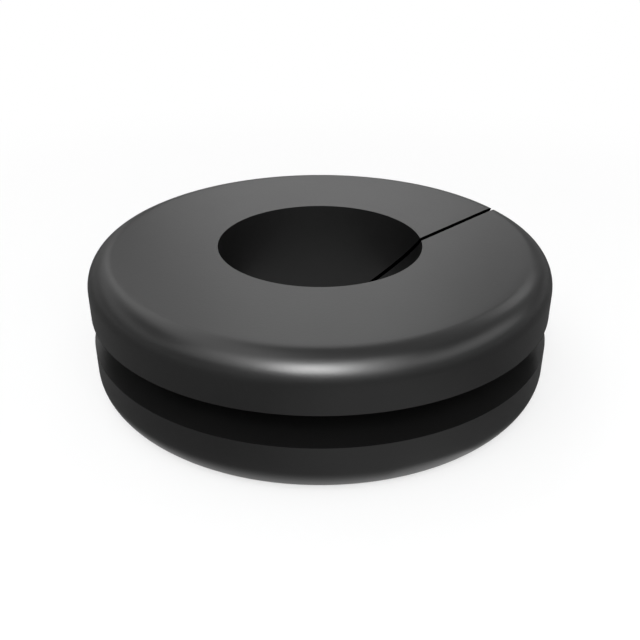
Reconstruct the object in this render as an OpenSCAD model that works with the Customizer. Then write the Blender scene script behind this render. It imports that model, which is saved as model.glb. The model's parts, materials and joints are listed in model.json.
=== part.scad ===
// Split cable grommet: one moulded ring of black rubber with a round cable bore,
// a groove around its waist that grips the edge of a panel, and one leaning slit
// through the wall, so that a cable can be laid in from the side.
// Millimetres. The bore runs along +Z, the lower face lies on Z = 0, and the slit opens towards +X.

/* [Rims] */
// Outer diameter of both rims
rim_d = 36; // [32:0.5:60]
// Thickness of each rim
rim_t = 4; // [2.5:0.25:6]
// Radius that rounds the outer edge of each rim
rim_edge_r = 2; // [0.5:0.25:3]

/* [Cable bore] */
// Diameter of the cable bore
bore_d = 16; // [12:0.5:22]

/* [Panel groove] */
// Diameter of the panel hole, which the neck between the rims fills
panel_hole_d = 26; // [20:0.5:30]
// Thickness of the panel, which is the width of the groove
panel_t = 2.5; // [1:0.25:5]

/* [Slit] */
// Gap between the two faces of the slit
slit_gap = 0.3; // [0.1:0.05:1]
// Lean of the slit away from upright, in degrees
slit_lean = 45; // [0:1:50]

/* [Hidden] */
rim_r = rim_d / 2;
bore_r = bore_d / 2;
neck_r = panel_hole_d / 2;
height = 2 * rim_t + panel_t;
// How far each cutting shape reaches past the face that it cuts
overcut = 1;
// Where the revolved surface starts, in degrees from the slit, so that its seam stays clear of the cut
seam_turn = 90;
// Half of the slit's depth along its lean, from mid height to past the upper face
slit_reach = (height / 2 + overcut) / cos(slit_lean) + slit_gap;
$fn = 180;

// What rounding takes off a square corner: the corner stands at [0, 0], and its wall lies towards -X and -Y
module corner_waste(r) {
    difference() {
        translate([-r, -r]) square(r + overcut);
        translate([-r, -r]) circle(r);
    }
}

// Half section of the ring in the XZ plane: the bore wall to the left, the two rims and the groove to the right
module ring_section() {
    difference() {
        translate([bore_r, 0]) square([rim_r - bore_r, height]);
        translate([neck_r, rim_t]) square([rim_r - neck_r + overcut, panel_t]);
        translate([rim_r, height]) corner_waste(rim_edge_r);
        translate([rim_r, 0]) mirror([0, 1]) corner_waste(rim_edge_r);
    }
}

// Blade-thin cut from the axis out past the rims, leaning about the level line through mid height
module slit() {
    translate([0, 0, height / 2])
        rotate([slit_lean, 0, 0])
            translate([0, -slit_gap / 2, -slit_reach])
                cube([rim_r + overcut, slit_gap, 2 * slit_reach]);
}

module grommet() {
    color([0.16, 0.16, 0.16])
        difference() {
            rotate([0, 0, seam_turn]) rotate_extrude() ring_section();
            slit();
        }
}

grommet();
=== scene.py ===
import json
import math
import bpy
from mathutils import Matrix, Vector


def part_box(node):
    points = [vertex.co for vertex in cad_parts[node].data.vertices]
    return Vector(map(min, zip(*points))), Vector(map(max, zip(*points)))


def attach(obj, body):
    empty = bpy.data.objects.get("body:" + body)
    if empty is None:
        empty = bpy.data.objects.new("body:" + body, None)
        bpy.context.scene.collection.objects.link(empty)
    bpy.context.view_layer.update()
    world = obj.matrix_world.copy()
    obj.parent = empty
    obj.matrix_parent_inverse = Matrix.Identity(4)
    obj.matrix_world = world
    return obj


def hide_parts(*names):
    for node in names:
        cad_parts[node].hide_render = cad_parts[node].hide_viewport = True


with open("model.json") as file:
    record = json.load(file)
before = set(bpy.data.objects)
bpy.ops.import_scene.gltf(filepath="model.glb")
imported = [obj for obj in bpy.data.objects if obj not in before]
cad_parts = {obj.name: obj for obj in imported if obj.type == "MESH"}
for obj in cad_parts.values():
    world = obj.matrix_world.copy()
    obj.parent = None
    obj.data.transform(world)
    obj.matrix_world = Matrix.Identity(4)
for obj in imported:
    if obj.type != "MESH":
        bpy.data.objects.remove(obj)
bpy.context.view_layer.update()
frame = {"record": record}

mm = 0.001
mounts = {mount["name"]: mount for mount in frame["record"]["mounts"]}
scene = bpy.context.scene


class Wire:
    # one output of a node; arithmetic with wires and numbers adds Math nodes

    def __init__(self, tree, socket=None):
        self.tree = tree
        self.socket = socket

    def node(self, kind, settings=None, sockets=None, out=0):
        made = self.tree.nodes.new(kind)
        for name, value in (settings or {}).items():  # these decide which sockets there are
            if name == "choices":
                while len(made.index_switch_items) < value:
                    made.index_switch_items.new()
            elif name == "captures":
                for label, dataType in value.items():
                    made.capture_items.new(dataType, label)
            else:
                setattr(made, name, value)
        for name, value in (sockets or {}).items():
            if isinstance(value, Wire):
                self.tree.links.new(value.socket, made.inputs[name])
            else:
                made.inputs[name].default_value = value
        if isinstance(out, tuple):
            return [Wire(self.tree, made.outputs[name]) for name in out]
        return Wire(self.tree, made.outputs[out]) if made.outputs else None

    def math(self, operation, first, second=0.0):
        return self.node("ShaderNodeMath", {"operation": operation}, {0: first, 1: second})

    def __add__(self, other):
        return self.math("ADD", self, other)

    def __sub__(self, other):
        return self.math("SUBTRACT", self, other)

    def __mul__(self, other):
        return self.math("MULTIPLY", self, other)

    def __truediv__(self, other):
        return self.math("DIVIDE", self, other)

    def __radd__(self, other):
        return self.math("ADD", other, self)

    def __rsub__(self, other):
        return self.math("SUBTRACT", other, self)

    def __rmul__(self, other):
        return self.math("MULTIPLY", other, self)

    def __rtruediv__(self, other):
        return self.math("DIVIDE", other, self)


def ramp(value, start, end, first, last, shape="SMOOTHSTEP"):
    # goes from first to last while the value goes from start to end
    return value.node("ShaderNodeMapRange", {"interpolation_type": shape}, {
        "Value": value, "From Min": start, "From Max": end, "To Min": first, "To Max": last})


def newMaterial(name):
    material = bpy.data.materials.new(name)
    material.use_nodes = True
    material.node_tree.nodes.clear()
    return material, Wire(material.node_tree)


def addObject(name, data):
    thing = bpy.data.objects.new(name, data)
    scene.collection.objects.link(thing)
    return thing


def greyOf(make, tone):
    return make.node("ShaderNodeCombineColor", None, {"Red": tone, "Green": tone, "Blue": tone})


noiseMean = 0.5  # what a noise texture gives on average

# Satin black rubber, as it comes out of a polished mould
rubber = {
    "tone": 0.005,              # dark carbon black
    "toneSpread": 0.002,        # faint cloudiness across the face
    "roughness": 0.34,
    "roughnessSpread": 0.04,
    "ior": 1.65,
    "cloudScale": 260.0,        # waves per metre: patches of about 4 mm
    "cloudDetail": 3.0,
    "grainScale": 5200.0,       # grain of about 0.2 mm
    "grainDetail": 2.0,
    "grainDepth": 0.004 * mm,
}


def rubberMaterial():
    material, make = newMaterial("satinBlackRubber")
    place = make.node("ShaderNodeTexCoord", out="Object")
    cloud = make.node("ShaderNodeTexNoise", None, {
        "Vector": place, "Scale": rubber["cloudScale"], "Detail": rubber["cloudDetail"]})
    grain = make.node("ShaderNodeTexNoise", None, {
        "Vector": place, "Scale": rubber["grainScale"], "Detail": rubber["grainDetail"]})
    patches = cloud + grain - 2 * noiseMean
    tone = rubber["tone"] + patches * rubber["toneSpread"]
    roughness = rubber["roughness"] + patches * rubber["roughnessSpread"]
    bump = make.node("ShaderNodeBump", None, {"Distance": rubber["grainDepth"], "Height": grain})
    surface = make.node("ShaderNodeBsdfPrincipled", None, {
        "Base Color": greyOf(make, tone), "Roughness": roughness, "IOR": rubber["ior"], "Normal": bump})
    make.node("ShaderNodeOutputMaterial", None, {"Surface": surface})
    return material


# The slit is cut with a blade after moulding, and its two faces are matt; their near-black tone and lack of
# any reflection are also painted shade that keeps the slit dark
cutFace = {
    "tone": 0.003,
    "toneSpread": 0.003,
    "roughness": 0.9,
    "roughnessSpread": 0.1,
    "gloss": 0.0,
    "dragScale": (300.0, 6000.0, 6000.0),  # waves per metre of the blade's marks, drawn out from the bore
    "dragDepth": 0.01 * mm,
}


def cutMaterial():
    material, make = newMaterial("cutBlackRubber")
    place = make.node("ShaderNodeTexCoord", out="Object")
    drawn = make.node("ShaderNodeVectorMath", {"operation": "MULTIPLY"},
                      {0: place, 1: cutFace["dragScale"]})
    drag = make.node("ShaderNodeTexNoise", None, {"Vector": drawn, "Scale": 1.0})
    marks = drag - noiseMean
    tone = cutFace["tone"] + marks * cutFace["toneSpread"]
    roughness = cutFace["roughness"] + marks * cutFace["roughnessSpread"]
    bump = make.node("ShaderNodeBump", None, {"Distance": cutFace["dragDepth"], "Height": drag})
    surface = make.node("ShaderNodeBsdfPrincipled", None, {
        "Base Color": greyOf(make, tone), "Roughness": roughness,
        "Specular IOR Level": cutFace["gloss"], "Normal": bump})
    make.node("ShaderNodeOutputMaterial", None, {"Surface": surface})
    return material


# The ring's section and slit; the sizes that the frame holds are read from it
low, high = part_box("grommet")
ring = {
    "Rim Radius": (high.x - low.x) / 2,
    "Bore Radius": mounts["bore"]["dims"]["r_mm"] * mm,
    "Neck Radius": mounts["panel_groove"]["dims"]["r_mm"] * mm,
    "Height": high.z - low.z,
    "Groove Width": mounts["panel_groove"]["dims"]["length_mm"] * mm,
    "Edge Radius": 2.0 * mm,    # outer edge of each rim; the mould's other edges are sharp
    "Slit Gap": 0.3 * mm,
    "Slit Lean": math.radians(45),
    "Edge Steps": 20,
    "Step": 0.5 * mm,           # longest run between two points of the section
    "Turns": 400,               # steps around the ring
    "Sharp Fold": math.radians(20),
    "Fade": 0.25,               # share of a turn in which the slit's lean dies out in the mesh
}


def ringTree(skin, cut):
    tree = bpy.data.node_groups.new("slitRing", "GeometryNodeTree")
    for name, value in ring.items():
        kind = "NodeSocketInt" if isinstance(value, int) else "NodeSocketFloat"
        tree.interface.new_socket(name, in_out="INPUT", socket_type=kind)
    tree.interface.new_socket("Geometry", in_out="OUTPUT", socket_type="NodeSocketGeometry")
    given = tree.nodes.new("NodeGroupInput")
    size = {name: Wire(tree, given.outputs[name]) for name in ring}
    make = Wire(tree)
    index = make.node("GeometryNodeInputIndex")
    here = make.node("GeometryNodeInputPosition")

    def atCorner(choices):
        links = {str(i): choice for i, choice in enumerate(choices)}
        settings = {"data_type": "FLOAT", "choices": len(choices)}
        return make.node("GeometryNodeIndexSwitch", settings, {"Index": index, **links})

    def keep(geometry, label, dataType, value):
        return make.node("GeometryNodeCaptureAttribute", {"captures": {label: dataType}},
                         {"Geometry": geometry, label: value}, ("Geometry", label))

    def isOver(value, limit):
        return make.node("FunctionNodeCompare", {"operation": "GREATER_THAN"}, {"A": value, "B": limit})

    # the section's corners, from the bore's lower end round by the rims and the groove
    rim, bore, neck = size["Rim Radius"], size["Bore Radius"], size["Neck Radius"]
    height, edge = size["Height"], size["Edge Radius"]
    grooveLow = (height - size["Groove Width"]) * 0.5
    grooveHigh = (height + size["Groove Width"]) * 0.5
    corners = [  # distance from the axis, height, fillet
        (bore, 0.0, 0.0), (rim, 0.0, edge), (rim, grooveLow, 0.0), (neck, grooveLow, 0.0),
        (neck, grooveHigh, 0.0), (rim, grooveHigh, 0.0), (rim, height, edge), (bore, height, 0.0),
    ]
    across, up, fillet = [atCorner(column) for column in zip(*corners)]
    corner = make.node("ShaderNodeCombineXYZ", None, {"X": across, "Y": up})
    points = make.node("GeometryNodePoints", None, {"Count": len(corners), "Position": corner})
    outline = make.node("GeometryNodePointsToCurves", None, {"Points": points})
    outline = make.node("GeometryNodeSetSplineCyclic", None, {"Geometry": outline, "Cyclic": True})
    outline = make.node("GeometryNodeFilletCurve", {"mode": "POLY"},
                        {"Curve": outline, "Count": size["Edge Steps"], "Radius": fillet})

    # straight runs get points at most one step apart
    count = make.node("GeometryNodeAttributeDomainSize", {"component": "CURVE"}, {"Geometry": outline})
    following = make.math("MODULO", index + 1, count)
    there = make.node("GeometryNodeFieldAtIndex", {"data_type": "FLOAT_VECTOR"},
                      {"Value": here, "Index": following})
    run = make.node("ShaderNodeVectorMath", {"operation": "DISTANCE"}, {0: here, 1: there}, "Value")
    outline = make.node("GeometryNodeSubdivideCurve", None,
                        {"Curve": outline, "Cuts": make.math("FLOOR", run / size["Step"])})
    outline, section = keep(outline, "section", "VECTOR", here)

    # a straight rail that the section is swept along, then bent round the axis
    rail = make.node("GeometryNodeCurvePrimitiveLine")
    rail = make.node("GeometryNodeResampleCurve", None, {"Curve": rail, "Count": size["Turns"] + 1})
    rail, turn = keep(rail, "turn", "FLOAT", make.node("GeometryNodeSplineParameter", out="Factor"))
    body = make.node("GeometryNodeCurveToMesh", None,
                     {"Curve": rail, "Profile Curve": outline, "Fill Caps": True})
    body = make.node("GeometryNodeFlipFaces", None, {"Mesh": body})  # bending turns the sweep inside out

    # the two ends lie on the slit's leaning faces, where radius * sin(angle) is half - drift
    # and -half - drift
    radius, level = make.node("ShaderNodeSeparateXYZ", None, {"Vector": section}, ("X", "Y"))
    rise = level - height * 0.5
    drift = rise * make.math("TANGENT", size["Slit Lean"])
    half = size["Slit Gap"] * 0.5 / make.math("COSINE", size["Slit Lean"])
    startAngle = make.math("ARCSINE", (half - drift) / radius)
    endAngle = make.math("ARCSINE", (-1.0 * half - drift) / radius)
    angle = (turn * math.tau
             + startAngle * ramp(turn, 0.0, size["Fade"], 1.0, 0.0)
             + endAngle * ramp(turn, 1.0 - size["Fade"], 1.0, 0.0, 1.0))
    bent = make.node("ShaderNodeCombineXYZ", None, {
        "X": radius * make.math("COSINE", angle),
        "Y": radius * make.math("SINE", angle),
        "Z": level,
    })
    body = make.node("GeometryNodeSetPosition", None, {"Geometry": body, "Position": bent})

    # smooth, apart from the lips and the slit's own edges
    body = make.node("GeometryNodeSetShadeSmooth", {"domain": "FACE"},
                     {"Geometry": body, "Shade Smooth": True})
    fold = make.node("GeometryNodeInputMeshEdgeAngle", out="Unsigned Angle")
    body = make.node("GeometryNodeSetShadeSmooth", {"domain": "EDGE"}, {
        "Geometry": body, "Selection": isOver(fold, size["Sharp Fold"]), "Shade Smooth": False})
    body = make.node("GeometryNodeRealizeInstances", None, {"Geometry": body})
    body = make.node("GeometryNodeSetMaterial", None, {"Geometry": body, "Material": skin})
    sides = make.node("GeometryNodeInputMeshFaceNeighbors", out="Vertex Count")
    skinSides = 4.0  # the skin is all quads, so only the slit's two faces have more sides
    body = make.node("GeometryNodeSetMaterial", None, {
        "Geometry": body, "Selection": isOver(sides, skinSides), "Material": cut})
    make.node("NodeGroupOutput", None, {"Geometry": body})
    return tree


def makeRing():
    tree = ringTree(rubberMaterial(), cutMaterial())
    piece = addObject("grommetRubber", bpy.data.meshes.new("ringCarrier"))
    modifier = piece.modifiers.new("slitRing", "NODES")
    modifier.node_group = tree
    for item in tree.interface.items_tree:
        if item.in_out == "INPUT":
            modifier[item.identifier] = ring[item.name]
    evaluated = piece.evaluated_get(bpy.context.evaluated_depsgraph_get())
    mesh = bpy.data.meshes.new_from_object(evaluated)
    piece.modifiers.remove(modifier)
    piece.data = mesh
    mesh.name = "grommetRubber"
    return piece


grommet = makeRing()
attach(grommet, "root")
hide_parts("grommet")
print("ring:", len(grommet.data.polygons), "faces,", [m.name for m in grommet.data.materials])

# The photograph's view; its angles are in degrees
view = {
    "azimuth": -45,
    "elevation": 28.397,
    "distance": 69.362 * mm,
    "aimHeight": 3.546 * mm,
    "lens": 47.28,
    "sensor": 36.0,
    "clipStart": 1 * mm,
    "clipEnd": 10.0,
}


def wayTo(azimuth, elevation=0):
    # degrees: azimuth 0 lies behind the ring as the camera sees it, 90 to the left and 180 in front
    turn = math.radians(view["azimuth"] + azimuth)
    rise = math.radians(elevation)
    return Vector((-math.sin(turn) * math.cos(rise), math.cos(turn) * math.cos(rise), math.sin(rise)))


def standFacing(thing, middle, way, distance):
    # away from the middle, looking back at it
    thing.location = middle + way * distance
    thing.rotation_euler = (-way).to_track_quat("-Z", "Y").to_euler()


def makeCamera():
    camera = addObject("photoCamera", bpy.data.cameras.new("photoCamera"))
    camera.data.lens = view["lens"]
    camera.data.sensor_width = view["sensor"]
    camera.data.clip_start = view["clipStart"]
    camera.data.clip_end = view["clipEnd"]
    aim = Vector((0, 0, view["aimHeight"]))
    standFacing(camera, aim, wayTo(180, view["elevation"]), view["distance"])
    scene.camera = camera


makeCamera()
print("camera:", [round(c / mm, 2) for c in scene.camera.location], "mm")

# Soft boxes round the ring: angles as wayTo takes them, halves as tangents of the angle from the middle of
# a box to its sides, and glow as the brightness of its face
softBoxes = {
    "frontKey": {"azimuth": 177.7, "elevation": 39.3, "halfWidth": 0.22, "halfHeight": 0.23, "glow": 11.6},
    "frontFill": {"azimuth": 192.9, "elevation": 40.9, "halfWidth": 0.41, "halfHeight": 0.49, "glow": 1.81},
    "backPanel": {"azimuth": -1.2, "elevation": 41.3, "halfWidth": 0.17, "halfHeight": 0.29, "glow": 1.2},
    "backStrip": {"azimuth": -3.2, "elevation": 19.9, "halfWidth": 0.3, "halfHeight": 0.06, "glow": 1.52},
    "backCorner": {"azimuth": -35.1, "elevation": 33.3, "halfWidth": 0.18, "halfHeight": 0.06, "glow": 2.68},
    "leftCanopy": {"azimuth": 95.4, "elevation": 65.9, "halfWidth": 1.78, "halfHeight": 0.27, "glow": 1.06},
    "leftWindow": {"azimuth": 135.2, "elevation": 40, "halfWidth": 0.42, "halfHeight": 0.28, "glow": 0.98},
    "leftStrip": {"azimuth": 63.6, "elevation": 25.1, "halfWidth": 0.81, "halfHeight": 0.14, "glow": 0.64},
    "rightStrip": {"azimuth": -103.7, "elevation": 28.1, "halfWidth": 0.54, "halfHeight": 0.19, "glow": 1.25},
    "rightWindow": {"azimuth": -53, "elevation": 59.3, "halfWidth": 0.33, "halfHeight": 0.89, "glow": 0.28},
}
boxDistance = 0.4  # metres from the ring


def makeSoftBox(name, box):
    lamp = bpy.data.lights.new(name, "AREA")
    lamp.shape = "RECTANGLE"
    lamp.size = 2 * boxDistance * box["halfWidth"]
    lamp.size_y = 2 * boxDistance * box["halfHeight"]
    lamp.energy = box["glow"] * math.pi * lamp.size * lamp.size_y
    stand = addObject(name, lamp)
    standFacing(stand, Vector(), wayTo(box["azimuth"], box["elevation"]), boxDistance)
    stand.visible_camera = False


for name, box in softBoxes.items():
    makeSoftBox(name, box)


def raysOf(make):
    # camera rays, then mirrored and refracted ones
    camera, glossy, through = make.node("ShaderNodeLightPath", None, None,
                                        ("Is Camera Ray", "Is Glossy Ray", "Is Transmission Ray"))
    return camera, make.math("MAXIMUM", glossy, through)


plainWhite = 1.0  # strength at which a background or a glowing face renders white

# The room is dim and its background white: the camera sees that everywhere, mirrored and refracted rays
# see a part of it at the horizon
room = {
    "glow": 0.05,
    "horizonFrom": 0.02,    # rise of a ray at which the white begins to fade
    "horizonTo": 0.25,
    "horizonWhite": 0.3,
}


def makeRoom():
    world = bpy.data.worlds.new("studio")
    scene.world = world
    world.use_nodes = True
    world.node_tree.nodes.clear()
    make = Wire(world.node_tree)
    way = make.node("ShaderNodeTexCoord", out="Generated")
    rise = make.node("ShaderNodeSeparateXYZ", None, {"Vector": way}, "Z")
    horizon = ramp(rise, room["horizonFrom"], room["horizonTo"], room["horizonWhite"], 0.0, "LINEAR")
    camera, mirrored = raysOf(make)
    white = camera + mirrored * horizon

    def background(strength):
        return make.node("ShaderNodeBackground", None,
                         {"Color": (1.0, 1.0, 1.0, 1.0), "Strength": strength})

    dim, bright = background(room["glow"]), background(plainWhite)
    light = make.node("ShaderNodeMixShader", None, {0: white, 1: dim, 2: bright})
    make.node("ShaderNodeOutputWorld", None, {"Surface": light})


makeRoom()

# White paper floor: it keeps the ring's shadow close by and is plain white further off. In mirrored rays it
# carries a painted reflection:
# grey in and round the ring, which is painted shade, apart from a pale band at the ring's foot with a painted
# glint and a painted pool of light in front
floor = {
    "span": 4.0,
    "drop": 0.01 * mm,          # just clear of the ring's foot
    "paper": 0.82,              # colour that the camera sees, white under these lamps
    "whiteShare": 0.55,         # how far the paper's own white lightens the shadow
    "shadowFrom": 30 * mm,      # the shadow fades out between these
    "shadowTo": 90 * mm,
    "paintedShade": 0.125,             # grey that all rays but the camera's see: painted shade that keeps the ring's sides dark and dims the bounce
    "paintedShadeFrom": 250 * mm,      # it fades out between these
    "paintedShadeTo": 600 * mm,
    "paintedBoreWhite": 0.23,          # how white mirrored rays see the paper down the bore and under the ring, a painted reflection
    "paintedFootWhite": 0.73,          # and in the painted pale band at the foot
    "footFrom": 16.6 * mm,      # the band's inner edge
    "footFull": 18.5 * mm,
    "footFade": 15 * mm,        # its outer edge, on a circle shifted forward
    "footTo": 17.5 * mm,
    "footShift": 2.6 * mm,
    "footAzimuth": 172,
    # a painted glint on the band, and the painted pool of light: full near their middles and gone further out
    "paintedGlint": {"white": 3.5, "away": 18 * mm, "azimuth": 208, "full": 1 * mm, "to": 4 * mm},
    "paintedPool": {"white": 0.2, "away": 27 * mm, "azimuth": 198, "full": 5 * mm, "to": 20 * mm},
}


def floorMaterial():
    material, make = newMaterial("whitePaper")
    place = make.node("ShaderNodeTexCoord", out="Object")

    def awayFrom(middle):
        return make.node("ShaderNodeVectorMath", {"operation": "DISTANCE"}, {0: place, 1: middle}, "Value")

    # a painted bright patch on the paper, full near its middle and gone further out
    def spot(of):
        away = awayFrom(wayTo(of["azimuth"]) * of["away"])
        return ramp(away, of["full"], of["to"], of["white"], 0.0)

    def matt(tone):
        return make.node("ShaderNodeBsdfDiffuse", None, {"Color": (tone, tone, tone, 1.0)})

    fromAxis = awayFrom(Vector())
    fromFoot = awayFrom(wayTo(floor["footAzimuth"]) * floor["footShift"])
    # painted reflection: how white mirrored rays see the paper down the bore and in the band at the foot
    inner = ramp(fromAxis, floor["footFrom"], floor["footFull"], floor["paintedBoreWhite"], 1.0)
    outer = ramp(fromFoot, floor["footFade"], floor["footTo"], 1.0, 0.0)
    foot = make.math("MINIMUM", inner, outer * (floor["paintedFootWhite"] + spot(floor["paintedGlint"])))
    # where mirrored rays see the grey paper: painted shade on the ring's sides
    paintedShade = (1 - foot) * ramp(fromAxis, floor["paintedShadeFrom"], floor["paintedShadeTo"], 1.0, 0.0)
    shadow = ramp(fromAxis, floor["shadowFrom"], floor["shadowTo"], floor["whiteShare"], 1.0)
    camera, mirrored = raysOf(make)
    # mirrored rays see the painted reflection, with a painted pool of light in front
    white = camera * shadow + mirrored * (1 - paintedShade + spot(floor["paintedPool"]))

    # the camera sees the pale paper and other rays the grey one, a painted shade in bounce and reflection
    grey, pale = matt(floor["paintedShade"]), matt(floor["paper"])
    paper = make.node("ShaderNodeMixShader", None, {0: camera, 1: grey, 2: pale})
    light = make.node("ShaderNodeEmission", None, {"Strength": plainWhite})
    top = make.node("ShaderNodeMixShader", None, {0: white, 1: paper, 2: light})
    under = make.node("ShaderNodeNewGeometry", out="Backfacing")
    clear = make.node("ShaderNodeBsdfTransparent")  # open to a view from below
    surface = make.node("ShaderNodeMixShader", None, {0: under, 1: top, 2: clear})
    make.node("ShaderNodeOutputMaterial", None, {"Surface": surface})
    return material


def makeFloor():
    half = floor["span"] / 2
    mesh = bpy.data.meshes.new("floor")
    corners = [(-half, -half, 0), (half, -half, 0), (half, half, 0), (-half, half, 0)]
    mesh.from_pydata(corners, [], [(0, 1, 2, 3)])
    mesh.materials.append(floorMaterial())
    piece = addObject("floor", mesh)
    piece.location.z = -floor["drop"]


makeFloor()
scene.view_settings.view_transform = "Standard"
print("studio:", len(softBoxes), "soft boxes, white paper floor")
